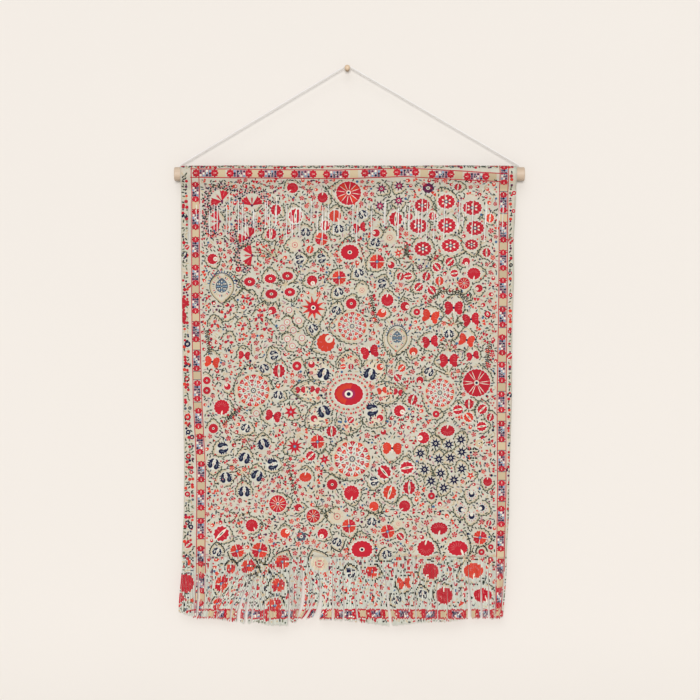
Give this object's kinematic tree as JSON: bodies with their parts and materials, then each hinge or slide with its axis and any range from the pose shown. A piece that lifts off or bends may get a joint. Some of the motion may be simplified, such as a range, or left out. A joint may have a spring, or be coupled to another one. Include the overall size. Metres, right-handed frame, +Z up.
{
  "type": "fringed suzani wall hanging on a wooden dowel with cord and wall peg",
  "caption": "Flat suzani-patterned cloth with a sleeve over a round wooden dowel, a band of unwoven strands, a long lower fringe, and a thin cord run over a small turned wall peg.",
  "frame": {"origin": "the middle of the wall peg's flat back face, on the wall plane", "axes": "+X to the viewer's right along the dowel, +Y into the wall, +Z up; the front of the cloth faces -Y"},
  "size_m": [0.6123, 0.0305, 0.9837],
  "materials": {
    "cloth": "matte woven cloth with stitched red, blue and green flowers",
    "fringe": "matte loose strands in the cloth's colours",
    "dowel": "pale sanded softwood",
    "cord": "matte white twisted cord",
    "peg": "pale satin wood"
  },
  "bodies": {
    "root": {"cloth": "cloth", "fringe": "fringe", "dowel": "dowel", "cord": "cord", "peg": "peg"}
  },
  "joints": []
}
